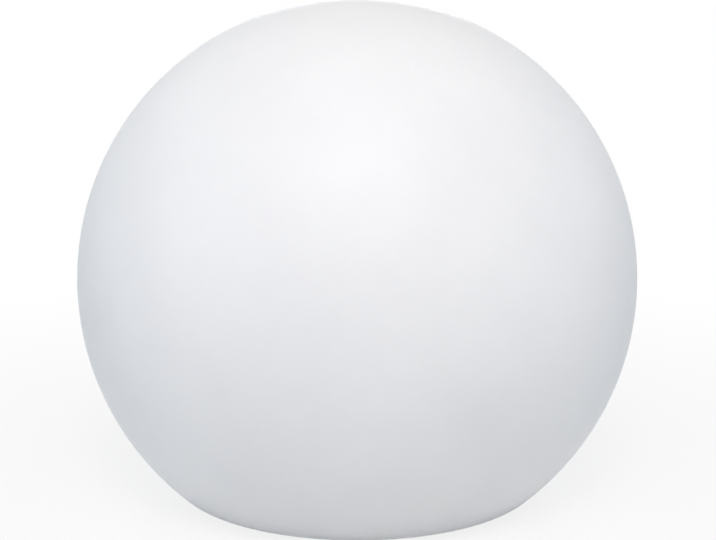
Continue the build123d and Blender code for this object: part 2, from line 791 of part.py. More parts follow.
def cell_tabs():
    """The welded tabs: one bridges the cells at +X, and two take the leads at -X."""
    low = cell_level - cell_tab_width / 2
    high = cell_level + cell_tab_width / 2
    x = (cell_length + cell_tab_thickness) / 2
    near, far = cell_places()
    bridge = block(cell_tab_thickness, far - near + cell_tab_width, low, high, x)
    ends = [block(cell_tab_thickness, cell_tab_width, low, high, -x, y) for y in (near, far)]
    return group([bridge, *ends])


def battery_pad():
    """Foam between the cells and the deck."""
    return block(battery_pad_length, battery_pad_width, deck_bottom - battery_pad_thickness,
                 deck_bottom)


def battery_cradle():
    """The moulded cradle: a plate screwed under the deck, with saddles and end walls for the cells."""
    cradle = block(cradle_length, cradle_width, cradle_bottom, cradle_top)
    cradle += block(cradle_inner_length + 2 * cradle_wall, cradle_width, cradle_bottom,
                    cradle_top + cradle_saddle)
    bore = Rot(0, 90, 0) * Cylinder(cell_diameter / 2 + cell_fit, cradle_inner_length)
    for y in cell_places():
        cradle -= Pos(0, y, cell_level + cell_fit) * bore
    tab_room = cell_tab_thickness + cell_fit
    tab_low = cell_level - cell_tab_width / 2
    for side in (-1, 1):
        cradle -= block(tab_room, cradle_width - 2 * cradle_wall, tab_low - cell_fit, cell_level,
                        side * (cradle_inner_length - tab_room) / 2)
    cradle -= block(lead_notch_depth, lead_notch_width, cradle_bottom, cradle_top,
                    battery_header_x)
    for x, y in cradle_screw_places():
        cradle -= rod(screw_radius + pass_gap, cradle_bottom, cradle_top, x, y)
    return cradle


def cradle_screws():
    """Screws from below, through the cradle into the bosses under the deck."""
    length = cradle_plate + cradle_screw_grip
    return group([pan_screw(cradle_bottom, length, x, y) for x, y in cradle_screw_places()])


def control_board():
    """The round control board on the cover's posts."""
    board = rod(board_radius, board_bottom, board_top)
    for x, y in board_post_places():
        board -= rod(screw_radius + pass_gap, board_bottom, board_top, x, y)
    return board


def board_screws():
    """Screws through the control board into the cover's posts."""
    length = board_thickness + board_screw_grip
    return group([pan_screw(board_top, length, x, y, down=True) for x, y in board_post_places()])


def board_place(angle, inset):
    """A point on the control board, at an angle and inside its edge."""
    return around(1, board_radius - inset, angle)[0]


def driver_chips():
    """The controller and the two driver chips."""
    x, y = board_place(controller_angle, controller_inset)
    chips = [block(controller_width, controller_width, board_top, board_top + controller_height,
                   x, y)]
    for angle in driver_angles:
        x, y = board_place(angle, driver_inset)
        chips.append(block(driver_width, driver_length, board_top, board_top + driver_height, x, y))
    return group(chips)


def inductors():
    """Square power inductors with round cores."""
    coils = []
    for x, y in [board_place(angle, inductor_inset) for angle in inductor_angles]:
        base = block(inductor_size, inductor_size, board_top, board_top + inductor_base, x, y)
        core = rod(inductor_core_radius, board_top, board_top + inductor_height, x, y)
        coils.append(base + core)
    return group(coils)


def capacitors():
    """Upright electrolytic capacitors."""
    top = board_top + capacitor_height
    places = [board_place(input_capacitor_angle, input_capacitor_inset),
              board_place(output_capacitor_angle, output_capacitor_inset)]
    return group([rod(capacitor_radius, board_top, top, x, y) for x, y in places])


def led_header():
    """The connector of the light source's ribbon."""
    length, width, height = led_header_size
    return block(length, width, board_top, board_top + height, 0, led_header_y)


def led_ribbon():
    """The flat lead from the connector up through the deck and down onto the light source's board."""
    top = led_board_top + ribbon_hump
    inner_y = led_header_y - ribbon_reach
    points = [(0, led_header_y, board_top + led_header_size[2]), (0, led_header_y, top),
              (0, inner_y, top), (0, inner_y, led_board_top)]
    path = FilletPolyline(*points, radius=ribbon_bend)
    start = Plane(origin=path @ 0, x_dir=(1, 0, 0), z_dir=path % 0)
    return sweep(start * Rectangle(ribbon_width, ribbon_thickness), path=path)


def battery_header():
    """The connector of the battery's leads."""
    length, width, height = battery_header_size
    return block(length, width, board_top, board_top + height, battery_header_x)


def battery_leads():
    """Two leads from the cells' tabs, out and down into the battery connector."""
    start_x = -(cell_length / 2 + cell_tab_thickness)
    end = board_top + battery_header_size[2]
    leads = []
    for y in cell_places():
        side = math.copysign(battery_lead_spread / 2, y)
        points = [(start_x, y, cell_level), (battery_header_x, y, cell_level),
                  (battery_header_x, side, end + battery_lead_drop), (battery_header_x, side, end)]
        leads.append(wire(points, battery_lead_radius, battery_lead_bends))
    return group(leads)


# ---- button and status light ------------------------------------------------------------------------


def power_button():
    """The push button: a domed cap, a retaining flange and a boss that pushes the boot."""
    flange = button_radius + button_flange_width
    low = cover_bottom + button_recess
    cap = rod(button_radius, low, cover_top, 0, button_y)
    cap = fillet(cap.edges().group_by(Axis.Z)[0], button_edge)
    cap += rod(flange, cover_top, cover_top + button_flange_height, 0, button_y)
    return cap + rod(button_boss_radius, cover_top, boot_roof, 0, button_y)


def button_boot():
    """The silicone boot that seals the button: a clamped rim, a wall and a roof."""
    inner = button_radius + button_flange_width + boot_gap
    outer = inner + boot_wall
    rim = outer + boot_rim_width
    boot = turned((inner, cover_top), (rim, cover_top), (rim, cover_top + boot_rim_height),
                  (outer, cover_top + boot_rim_height), (outer, boot_top), (0, boot_top),
                  (0, boot_roof), (inner, boot_roof))
    boot = Pos(0, button_y, 0) * boot
    for x, y in retainer_screw_places():
        boot -= rod(retainer_ear_radius + boot_ear_gap, cover_top, cover_top + boot_rim_height, x, y)
    return boot


def boot_retainer():
    """The ring with two ears that clamps the boot's rim."""
    inner = button_radius + button_flange_width + boot_gap + boot_wall + retainer_gap
    outer = inner + boot_rim_width
    low = cover_top + boot_rim_height
    high = low + retainer_height
    ring = rod(outer, low, high, 0, button_y)
    ring += block(2 * retainer_ear_x, 2 * retainer_ear_radius, low, high, 0, button_y)
    for x, y in retainer_screw_places():
        ring += rod(retainer_ear_radius, low, high, x, y)
    ring -= rod(inner, low, high, 0, button_y)
    for x, y in retainer_screw_places():
        ring -= rod(small_screw_radius + pass_gap, low, high, x, y)
    return ring


def retainer_screws():
    """Small screws through the retainer's ears."""
    seat = cover_top + boot_rim_height + retainer_height
    length = retainer_height + retainer_screw_grip
    return group([pan_screw(seat, length, x, y, True, small_screw_radius, small_screw_head_radius,
                            small_screw_head_height) for x, y in retainer_screw_places()])


def tact_switch():
    """The switch body under the control board, bored for its stem."""
    low = board_bottom - switch_height
    body = block(switch_size, switch_size, low, board_bottom, 0, button_y)
    return body - rod(switch_stem_radius + switch_stem_gap, low, low + switch_bore_depth, 0,
                      button_y)


def switch_stem():
    """The switch's long stem, which the button pushes through the boot."""
    top = board_bottom - switch_height + switch_stem_depth
    return rod(switch_stem_radius, boot_top, top, 0, button_y)


def status_led():
    """The charge indicator under the control board."""
    length, width, height = status_led_size
    return block(length, width, board_bottom - height, board_bottom, light_pipe_x, light_pipe_y)


def light_pipe():
    """The clear rod that shows the charge indicator in the cover."""
    top = board_bottom - status_led_size[2] - light_pipe_gap
    pipe = rod(light_pipe_radius, cover_bottom, top, light_pipe_x, light_pipe_y)
    return pipe + rod(light_pipe_radius + light_pipe_flange, cover_top,
                      cover_top + light_pipe_flange, light_pipe_x, light_pipe_y)


# ---- charging port and vent -------------------------------------------------------------------------


def port_door():
    """The hinged door over the charging socket: a plate and a bored barrel."""
    plate = block(door_width, door_reach, cover_bottom, cover_bottom + door_thickness, 0,
                  hinge_y + door_reach / 2)
    barrel = Rot(0, 90, 0) * Cylinder(door_barrel_radius, door_width)
    bore = Rot(0, 90, 0) * Cylinder(door_pin_radius + door_pin_gap, door_width)
    place = Pos(0, hinge_y, hinge_level)
    return plate + place * barrel - place * bore


def door_seal():
    """The soft plug on the door's inner face that closes the port."""
    low = cover_bottom + door_thickness
    plug = rod(door_seal_radius, low, low + door_seal_height, 0, port_y)
    return chamfer(plug.edges().group_by(Axis.Z)[-1], door_seal_bevel)


def door_hinge_pin():
    """The steel pin of the port door, held in the cover at both ends."""
    pin_half = door_width / 2 + door_gap + door_pin_hold
    pin = Rot(0, 90, 0) * Cylinder(door_pin_radius - door_pin_press_gap, 2 * pin_half)
    return Pos(0, hinge_y, hinge_level) * pin


def charge_socket():
    """The barrel socket between the port pad and the control board."""
    body = block(socket_size, socket_size, port_pad_top, board_bottom, 0, port_y)
    return body - rod(socket_bore_radius, port_pad_top, port_pad_top + socket_bore_depth, 0, port_y)


def socket_pin():
    """The centre contact of the charging socket."""
    return rod(socket_pin_radius, port_pad_top + socket_pin_setback,
               port_pad_top + socket_bore_depth, 0, port_y)


def vent_body():
    """The breather's body: a flat cap outside, a hollow stem inside."""
    cap_low = cover_bottom + vent_cap_recess
    cap_top = cap_low + vent_cap_height
    stem_top = cover_top + vent_nut_height + vent_stem_end
    body = turned((vent_bore_radius, cap_low), (vent_cap_radius, cap_low),
                  (vent_cap_radius, cap_top), (vent_stem_radius, cap_top),
                  (vent_stem_radius, stem_top), (vent_chamber_radius, stem_top),
                  (vent_chamber_radius, cover_top), (vent_bore_radius, cover_top))
    return Pos(vent_x, 0, 0) * body


def vent_membrane():
    """The breather's membrane, on the step inside the stem."""
    return rod(vent_chamber_radius - vent_membrane_gap, cover_top,
               cover_top + vent_membrane_thickness, vent_x)


def vent_nut():
    """The hexagonal nut that holds the breather."""
    plan = Pos(vent_x, 0, cover_top) * RegularPolygon(vent_nut_flats / 2, 6, major_radius=False)
    nut = extrude(plan, vent_nut_height)
    return nut - rod(vent_stem_radius + pilot_gap, cover_top, cover_top + vent_nut_height, vent_x)


PIECES = (
    globe_shell, insert_bushes, ring_gasket, lock_ring, ring_screws, module_seal, module_housing,
    base_cover, cover_gasket, cover_screws, foot_pads, heat_spreader, led_board, led_chips,
    led_board_screws, light_dome, dome_gasket, dome_clamp_ring, dome_screws,
    battery_cells, cell_tabs, battery_pad, battery_cradle, cradle_screws, control_board,
    board_screws, driver_chips, inductors, capacitors, led_header, led_ribbon, battery_header,
    battery_leads, power_button, button_boot, boot_retainer, retainer_screws, tact_switch,
    switch_stem, status_led, light_pipe, port_door, door_seal, door_hinge_pin, charge_socket,
    socket_pin, vent_body, vent_membrane, vent_nut,
)


def main():
    """Writes one STEP file for each piece."""
    os.makedirs("parts", exist_ok=True)
    for piece in PIECES:
        export_step(piece(), f"parts/{piece.__name__}.step")
    print(f"globe lifts {globe_travel:.2f} mm over {globe_turn:.2f} degrees")


main()
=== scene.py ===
import json
import math

import bmesh
import bpy
from mathutils import Matrix, Vector


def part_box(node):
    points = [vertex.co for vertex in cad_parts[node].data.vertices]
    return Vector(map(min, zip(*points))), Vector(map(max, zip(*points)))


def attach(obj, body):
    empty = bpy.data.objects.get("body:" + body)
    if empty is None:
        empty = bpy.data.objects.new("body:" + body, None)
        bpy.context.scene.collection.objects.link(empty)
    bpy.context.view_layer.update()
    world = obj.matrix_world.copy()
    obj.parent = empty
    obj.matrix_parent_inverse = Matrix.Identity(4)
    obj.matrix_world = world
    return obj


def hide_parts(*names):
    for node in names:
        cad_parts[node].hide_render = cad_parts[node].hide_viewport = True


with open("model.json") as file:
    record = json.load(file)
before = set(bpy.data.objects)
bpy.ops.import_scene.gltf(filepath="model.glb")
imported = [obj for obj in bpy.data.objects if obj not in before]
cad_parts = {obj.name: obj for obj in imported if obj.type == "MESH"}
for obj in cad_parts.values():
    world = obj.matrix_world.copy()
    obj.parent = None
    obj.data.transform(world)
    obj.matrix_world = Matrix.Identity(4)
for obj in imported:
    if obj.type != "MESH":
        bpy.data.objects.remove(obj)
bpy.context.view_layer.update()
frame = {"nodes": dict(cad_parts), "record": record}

mm = 0.001
nodes = frame["nodes"]

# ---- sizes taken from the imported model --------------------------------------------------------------

globe_low, globe_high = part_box("globe_shell")
globe_radius = (globe_high.x - globe_low.x) / 2
globe_centre = globe_high.z - globe_radius
rim_level = globe_low.z
gasket_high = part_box("ring_gasket")[1]
seat_level = gasket_high.z

# ---- helpers for meshes -----------------------------------------------------------------------------

same_place = 1e-6  # points closer than this are one
smooth_angle = 35  # degrees between two faces that still shade as one surface
edge_steps = 4  # points less one on a rounded corner


def arc(centre, radius, first, last, steps):
    """Points (r, z) on a circular arc between two angles in degrees."""
    points = []
    for k in range(steps + 1):
        a = math.radians(first + (last - first) * k / steps)
        points.append((centre[0] + radius * math.cos(a), centre[1] + radius * math.sin(a)))
    return points


def rounded(corners, steps=edge_steps):
    """A closed outline of (r, z, radius) corners with each corner rounded by its radius."""
    points = []
    for k, (r, z, radius) in enumerate(corners):
        here = Vector((r, z))
        to_last = Vector(corners[k - 1][:2]) - here
        to_next = Vector(corners[(k + 1) % len(corners)][:2]) - here
        if radius <= 0:
            points.append((r, z))
            continue
        angle = to_last.angle(to_next)
        reach = radius / math.tan(angle / 2)
        start = here + to_last.normalized() * reach
        end = here + to_next.normalized() * reach
        for j in range(steps + 1):
            t = j / steps
            # a quadratic curve is close enough to an arc at these sizes
            p = start * (1 - t) ** 2 + here * 2 * t * (1 - t) + end * t ** 2
            points.append((p.x, p.y))
    return points


def lathe_into(bm, outline, segments, centre=(0, 0)):
    """Adds the surface of revolution of a closed (r, z) outline to a bmesh."""
    rings = []
    for r, z in outline:
        if r < same_place:
            rings.append([bm.verts.new((centre[0], centre[1], z))])
            continue
        ring = []
        for k in range(segments):
            a = 2 * math.pi * k / segments
            ring.append(bm.verts.new((centre[0] + r * math.cos(a), centre[1] + r * math.sin(a), z)))
        rings.append(ring)
    for a, b in zip(rings, rings[1:] + rings[:1]):
        if len(a) == 1 and len(b) == 1:
            continue
        for k in range(segments):
            j = (k + 1) % segments
            corners = [a[k % len(a)], a[j % len(a)], b[j % len(b)], b[k % len(b)]]
            bm.faces.new(list(dict.fromkeys(corners)))


def welded_copy(node):
    """A bmesh of a node's own mesh, with vertices in the same place joined."""
    bm = bmesh.new()
    bm.from_mesh(nodes[node].data)
    bmesh.ops.remove_doubles(bm, verts=bm.verts, dist=same_place)
    return bm


def solids_of(node):
    """The (low, high) corners of each separate solid of a node, in order round the Z axis."""
    bm = welded_copy(node)
    left = set(bm.verts)
    found = []
    while left:
        stack = [left.pop()]
        island = []
        while stack:
            v = stack.pop()
            island.append(v.co.copy())
            for e in v.link_edges:
                other = e.other_vert(v)
                if other in left:
                    left.remove(other)
                    stack.append(other)
        low = Vector([min(p[i] for p in island) for i in range(3)])
        high = Vector([max(p[i] for p in island) for i in range(3)])
        found.append((low, high))
    bm.free()
    return sorted(found, key=lambda s: (math.atan2(s[0].y + s[1].y, s[0].x + s[1].x), s[0].x))


def box_into(bm, low, high, bevel):
    """Adds a box with its edges rounded off."""
    place = Matrix.Translation((low + high) / 2) @ Matrix.Diagonal((*(high - low), 1))
    verts = bmesh.ops.create_cube(bm, size=1, matrix=place)["verts"]
    edges = list(dict.fromkeys(e for v in verts for e in v.link_edges))
    bmesh.ops.bevel(bm, geom=edges, offset=bevel, segments=2, profile=0.5, affect="EDGES")


def strip_into(bm, left, right, closed=True):
    """Adds quads between two equal rows of vertices, and gives them."""
    count = len(left) if closed else len(left) - 1
    faces = []
    for k in range(count):
        j = (k + 1) % len(left)
        faces.append(bm.faces.new((left[k], left[j], right[j], right[k])))
    return faces


def finished_piece(name, bm, materials=()):
    """A linked piece from a bmesh whose shells are closed, shaded smooth but for sharp edges."""
    bmesh.ops.recalc_face_normals(bm, faces=bm.faces)
    mesh = bpy.data.meshes.new(name)
    bm.to_mesh(mesh)
    bm.free()
    for material in materials:
        mesh.materials.append(material)
    mesh.shade_smooth()
    mesh.set_sharp_from_angle(angle=math.radians(smooth_angle))
    piece = bpy.data.objects.new(name, mesh)
    bpy.context.scene.collection.objects.link(piece)
    return piece


# ---- materials --------------------------------------------------------------------------------------

dark_below, light_above = 0.35, 0.65  # levels of the noise between which the two tones blend
mottle_detail, grain_detail, patch_detail = 4.0, 2.0, 1.0
track_grid = 1.0 * mm
track_width = 0.3 * mm
track_length = 17.0 * mm
track_spacing = 0.9 * mm
track_shift = 0.37  # of a track's length, between one row and the next
track_patch = 7.0 * mm
patch_edge = (0.48, 0.52)  # levels of the noise between which a patch of tracks fades in


def finish(name, light, dark, roughness, mottle=4.0, grain=0.0, grain_size=0.4, rough_spread=0.06,
           **sockets):
    """A procedural finish: two tones mottled by noise, uneven roughness and, with a grain, a bump.

    mottle and grain_size are in millimetres, and grain is the bump's depth in millimetres.
    """
    made = bpy.data.materials.new(name)
    made.use_nodes = True
    tree = made.node_tree
    shader = tree.nodes["Principled BSDF"]
    for socket, value in sockets.items():
        shader.inputs[socket.replace("_", " ")].default_value = value
    place = tree.nodes.new("ShaderNodeTexCoord")
    blotch = tree.nodes.new("ShaderNodeTexNoise")
    blotch.inputs["Scale"].default_value = 1 / (mottle * mm)
    blotch.inputs["Detail"].default_value = mottle_detail
    tree.links.new(place.outputs["Object"], blotch.inputs["Vector"])
    tones = tree.nodes.new("ShaderNodeValToRGB")
    tones.color_ramp.elements[0].position = dark_below
    tones.color_ramp.elements[0].color = (*dark, 1)
    tones.color_ramp.elements[1].position = light_above
    tones.color_ramp.elements[1].color = (*light, 1)
    tree.links.new(blotch.outputs["Fac"], tones.inputs["Fac"])
    tree.links.new(tones.outputs["Color"], shader.inputs["Base Color"])
    spread = tree.nodes.new("ShaderNodeMapRange")
    spread.inputs["To Min"].default_value = roughness - rough_spread
    spread.inputs["To Max"].default_value = roughness + rough_spread
    tree.links.new(blotch.outputs["Fac"], spread.inputs["Value"])
    tree.links.new(spread.outputs["Result"], shader.inputs["Roughness"])
    if grain > 0:
        fine = tree.nodes.new("ShaderNodeTexNoise")
        fine.inputs["Scale"].default_value = 1 / (grain_size * mm)
        fine.inputs["Detail"].default_value = grain_detail
        tree.links.new(place.outputs["Object"], fine.inputs["Vector"])
        bump = tree.nodes.new("ShaderNodeBump")
        bump.inputs["Distance"].default_value = grain * mm
        tree.links.new(fine.outputs["Fac"], bump.inputs["Height"])
        tree.links.new(bump.outputs["Normal"], shader.inputs["Normal"])
    return made


def add_tracks(made, tone):
    """Straight tracks of another tone under a board's lacquer, over part of its area."""
    tree = made.node_tree
    base = tree.nodes["Principled BSDF"].inputs["Base Color"]
    plain = base.links[0].from_socket
    place = tree.nodes["Texture Coordinate"]
    grid = tree.nodes.new("ShaderNodeTexBrick")
    for socket, value in (("Color1", 0), ("Color2", 0), ("Mortar", 1)):
        grid.inputs[socket].default_value = (value, value, value, 1)
    grid.inputs["Scale"].default_value = 1 / track_grid
    grid.inputs["Mortar Size"].default_value = track_width / track_grid / 2
    grid.inputs["Brick Width"].default_value = track_length / track_grid
    grid.inputs["Row Height"].default_value = track_spacing / track_grid
    grid.offset = track_shift
    tree.links.new(place.outputs["Object"], grid.inputs["Vector"])
    patches = tree.nodes.new("ShaderNodeTexNoise")
    patches.inputs["Scale"].default_value = 1 / track_patch
    patches.inputs["Detail"].default_value = patch_detail
    tree.links.new(place.outputs["Object"], patches.inputs["Vector"])
    there = tree.nodes.new("ShaderNodeMapRange")
    there.inputs["From Min"].default_value, there.inputs["From Max"].default_value = patch_edge
    tree.links.new(patches.outputs["Fac"], there.inputs["Value"])
    both = tree.nodes.new("ShaderNodeMath")
    both.operation = "MULTIPLY"
    tree.links.new(grid.outputs["Color"], both.inputs[0])
    tree.links.new(there.outputs["Result"], both.inputs[1])
    mixed = tree.nodes.new("ShaderNodeMixRGB")
    mixed.inputs["Color2"].default_value = (*tone, 1)
    tree.links.new(both.outputs[0], mixed.inputs["Fac"])
    tree.links.new(plain, mixed.inputs["Color1"])
    tree.links.new(mixed.outputs["Color"], base)


polyethylene = finish("polyethylene", (0.90, 0.90, 0.89), (0.87, 0.87, 0.865), 0.52, mottle=60,
                      grain=0.02, grain_size=1.1, Subsurface_Weight=0.2, Subsurface_Scale=4 * mm,
                      Subsurface_Radius=(1, 0.9, 0.8), Specular_IOR_Level=0.2)
casing = finish("casing", (0.80, 0.80, 0.79), (0.76, 0.76, 0.755), 0.5, mottle=25, grain=0.015,
                grain_size=0.35)
brass = finish("brass", (0.80, 0.60, 0.28), (0.66, 0.47, 0.20), 0.32, mottle=3, Metallic=1.0)
rubber = finish("rubber", (0.035, 0.035, 0.037), (0.02, 0.02, 0.021), 0.72, mottle=6, grain=0.02,
                grain_size=0.5)
silicone = finish("silicone", (0.36, 0.37, 0.38), (0.30, 0.31, 0.32), 0.6, mottle=5, grain=0.01)
steel = finish("steel", (0.66, 0.66, 0.65), (0.52, 0.52, 0.51), 0.3, mottle=1.5, Metallic=1.0)
aluminium = finish("aluminium", (0.82, 0.82, 0.83), (0.72, 0.72, 0.73), 0.36, mottle=2.5,
                   Metallic=1.0)
mask_white = finish("mask_white", (0.84, 0.85, 0.84), (0.78, 0.79, 0.78), 0.3, mottle=8)
phosphor = finish("phosphor", (0.86, 0.74, 0.30), (0.80, 0.66, 0.22), 0.35, mottle=1.2)
chip_case = finish("chip_case", (0.82, 0.82, 0.80), (0.76, 0.76, 0.74), 0.4, mottle=2)
frosted = finish("frosted", (0.86, 0.87, 0.88), (0.82, 0.83, 0.84), 0.45, mottle=30, grain=0.008,
                 grain_size=0.3, Transmission_Weight=0.45)
wrap = finish("wrap", (0.05, 0.20, 0.42), (0.035, 0.15, 0.34), 0.28, mottle=10)
foam = finish("foam", (0.05, 0.05, 0.052), (0.02, 0.02, 0.021), 0.9, mottle=1.2, grain=0.2,
              grain_size=0.8)
black_plastic = finish("black_plastic", (0.03, 0.03, 0.032), (0.018, 0.018, 0.02), 0.45, mottle=8,
                       grain=0.01)
mask_green = finish("mask_green", (0.03, 0.20, 0.09), (0.02, 0.14, 0.06), 0.3, mottle=6)
add_tracks(mask_green, (0.07, 0.29, 0.14))
nylon = finish("nylon", (0.80, 0.77, 0.66), (0.74, 0.70, 0.58), 0.42, mottle=5)
insulation = finish("insulation", (0.55, 0.035, 0.03), (0.46, 0.025, 0.02), 0.4, mottle=5)
black_insulation = finish("black_insulation", (0.035, 0.035, 0.037), (0.02, 0.02, 0.022), 0.42,
                          mottle=5)
lead_grey = finish("lead_grey", (0.40, 0.41, 0.42), (0.33, 0.34, 0.35), 0.42, mottle=5)
clear = finish("clear", (0.92, 0.94, 0.95), (0.88, 0.90, 0.91), 0.12, mottle=10,
               rough_spread=0.03, Transmission_Weight=0.9)
membrane = finish("membrane", (0.82, 0.82, 0.80), (0.70, 0.70, 0.68), 0.85, mottle=0.6, grain=0.03,
                  grain_size=0.2)

by_slot = {
    "globe_polyethylene": polyethylene, "brass": brass, "white_casing": casing,
    "black_rubber": rubber, "grey_silicone": silicone, "steel": steel,
    "spreader_aluminium": aluminium, "white_board": mask_white, "chip_phosphor": chip_case,
    "frosted_dome": frosted, "cell_wrap": wrap, "black_foam": foam,
    "black_plastic": black_plastic, "green_board": mask_green, "connector_plastic": nylon,
    "lead_insulation": insulation, "clear_plastic": clear, "membrane": membrane,
}
slot_of = {entry["node"]: entry["material_slot"] for entry in frame["record"]["subparts"]}
body_of = {node: body for body, held in frame["record"]["behaviour"]["bodies"].items()
           for node in held}


def paint(piece, material):
    """One material over the whole piece."""
    if not piece.material_slots:
        piece.data.materials.append(material)
    for spot in piece.material_slots:
        spot.material = material


def stand_for(piece, node):
    """The piece stands for a CAD node: same body, same material slot."""
    if not piece.material_slots:
        paint(piece, by_slot[slot_of[node]])
    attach(piece, body_of[node])
    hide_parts(node)


for node_name, node in nodes.items():
    paint(node, by_slot[slot_of[node_name]])


# ---- the globe --------------------------------------------------------------------------------------

wall = 3.0 * mm
rim_blend = 9.0 * mm
rim_fold = 4.0 * mm
seat_corner = 2.0 * mm
recess_gap = 2.5 * mm  # between the gasket's edge and the wall of the recess
recess_radius = gasket_high.x + recess_gap
opening_radius = 66.0 * mm
boss_radius = 6.3 * mm
boss_height = 9.5 * mm
boss_edge = 0.6 * mm
boss_segments = 32
skin_segments = 160
sphere_steps, blend_steps, fold_steps = 84, 12, 8  # of the arcs outside; inside half as many
corner_steps = 5


def globe_outline():
    """The shell's section: outside from the pole down and round the foot, then back up inside."""
    centre = (0, globe_centre)
    blend_z = rim_level + rim_blend
    blend_r = math.sqrt((globe_radius - rim_blend) ** 2 - (globe_centre - blend_z) ** 2)
    meet = math.degrees(math.atan2(blend_z - globe_centre, blend_r))
    fold = (recess_radius + rim_fold, rim_level + rim_fold)
    corner = (recess_radius - seat_corner, seat_level - seat_corner)
    inner = globe_radius - wall
    points = arc(centre, globe_radius, 90, meet, sphere_steps)
    points += arc((blend_r, blend_z), rim_blend, meet, -90, blend_steps)[1:]
    points += arc(fold, rim_fold, -90, -180, fold_steps)
    points += arc(corner, seat_corner, 0, 90, corner_steps)
    points += [(opening_radius, seat_level), (opening_radius, seat_level + wall)]
    points += arc(corner, seat_corner + wall, 90, 0, corner_steps)
    points += arc(fold, rim_fold - wall, -180, -90, fold_steps // 2)
    points += arc((blend_r, blend_z), rim_blend - wall, -90, meet, blend_steps // 2)
    points += arc(centre, inner, meet, 90, sphere_steps // 2)[1:]
    return points


def globe_skin():
    """The rotationally moulded skin, with the bosses that hold the brass bushes."""
    bm = bmesh.new()
    lathe_into(bm, globe_outline(), skin_segments)
    for low, high in solids_of("insert_bushes"):
        middle = (low + high) / 2
        hole = (high.x - low.x) / 2
        top = seat_level + boss_height
        outline = rounded([(hole, seat_level + wall, 0), (boss_radius, seat_level + wall, 0),
                           (boss_radius, top, boss_edge), (0, top, 0), (0, high.z, 0),
                           (hole, high.z, 0)])
        lathe_into(bm, outline, boss_segments, (middle.x, middle.y))
    return finished_piece("globe_skin", bm)


stand_for(globe_skin(), "globe_shell")


# ---- rubber feet ------------------------------------------------------------------------------------

groove_inside, groove_outside = 0.52, 0.66  # of the foot's radius
groove_depth = 0.5 * mm
groove_edge = 0.2 * mm
sole_edge = 0.7 * mm
foot_root_edge = 0.1 * mm
foot_segments = 48


def foot_pads():
    """Moulded rubber feet with a soft edge and a ring groove in the sole."""
    bm = bmesh.new()
    for low, high in solids_of("foot_pads"):
        middle = (low + high) / 2
        radius = (high.x - low.x) / 2
        inside, outside = radius * groove_inside, radius * groove_outside
        outline = rounded([
            (0, 0, 0), (inside, 0, groove_edge), (inside, groove_depth, groove_edge),
            (outside, groove_depth, groove_edge), (outside, 0, groove_edge),
            (radius, 0, sole_edge), (radius, high.z, foot_root_edge), (0, high.z, 0)])
        lathe_into(bm, outline, foot_segments, (middle.x, middle.y))
    return finished_piece("rubber_feet", bm)


stand_for(foot_pads(), "foot_pads")


# ---- screws with a cross recess and a thread --------------------------------------------------------

screw_shank, screw_head = 1.5 * mm, 2.8 * mm
small_shank, small_head = 1.0 * mm, 1.9 * mm
pan_height, low_pan_height, small_pan_height = 1.8 * mm, 1.0 * mm, 1.2 * mm
pan_round_share = 0.6  # of a pan head's height
flat_head_edge = 0.12 * mm
screw_edge = 0.1 * mm
screw_tip, tip_edge = 0.8 * mm, 0.2 * mm
screw_segments, screw_edge_steps = 32, 3
core_share = 0.78  # of the shank's radius, inside the thread
thread_pitch_share = 0.75  # of the shank's radius
thread_root_share = 0.85  # of the core's radius, so that the thread starts inside the core
thread_half_width = 0.35  # of the pitch
steps_per_turn = 18
recess_depth = 0.25  # this and the next two are shares of the head's radius
recess_length = {"inside": 0.5, "outside": 1.3}
recess_width = {"inside": 0.21, "outside": 0.3}
cutter_rise = 0.4  # of the recess's depth, how far the cutter stands out of the head
screw_spin = 37  # degrees from one screw's recess to the next one's


def screw_outline(length, head, shank, height):
    """A screw's section: a pan head of a height, or a countersunk head where the height is 0."""
    core = shank * core_share
    if height:
        top = [(head, 0, height * pan_round_share), (head, height, screw_edge),
               (core, height, screw_edge)]
    else:
        top = [(head, 0, flat_head_edge), (core, head - core, screw_edge)]
    end = [(core, length - screw_tip, tip_edge), (0, length, 0)]
    return rounded([(0, 0, 0), *top, *end], screw_edge_steps)


def cross_cutter(head):
    """A tapered cross that cuts the recess into a screw's head from its face at level 0."""
    depth = head * recess_depth
    level = {"inside": depth, "outside": -depth * cutter_rise}
    bm = bmesh.new()
    for turn in (0, 90):
        blade = bmesh.ops.create_cube(bm, size=1)["verts"]
        for v in blade:
            end = "inside" if v.co.z > 0 else "outside"
            v.co = Vector((v.co.x * head * recess_length[end], v.co.y * head * recess_width[end],
                           level[end]))
        bmesh.ops.rotate(bm, verts=blade, matrix=Matrix.Rotation(math.radians(turn), 3, "Z"))
    return finished_piece("cross_cutter", bm)


def thread_into(bm, shank, low, high):
    """Adds the helical ridge round a screw's core, fading out at both ends."""
    core = shank * core_share
    root = core * thread_root_share
    pitch = shank * thread_pitch_share
    rise = pitch * thread_half_width
    steps = round((high - low) / pitch * steps_per_turn)
    rings = []
    for k in range(steps + 1):
        angle = 2 * math.pi * k / steps_per_turn
        level = low + pitch * k / steps_per_turn
        fade = min(1, 2 * k / steps_per_turn, 2 * (steps - k) / steps_per_turn)
        crest = core + (shank - core) * fade
        section = ((root, level - rise), (crest, level), (root, level + rise))
        rings.append([bm.verts.new((r * math.cos(angle), r * math.sin(angle), z))
                      for r, z in section])
    for a, b in zip(rings, rings[1:]):
        strip_into(bm, a, b)
    bm.faces.new(rings[0])
    bm.faces.new(rings[-1])


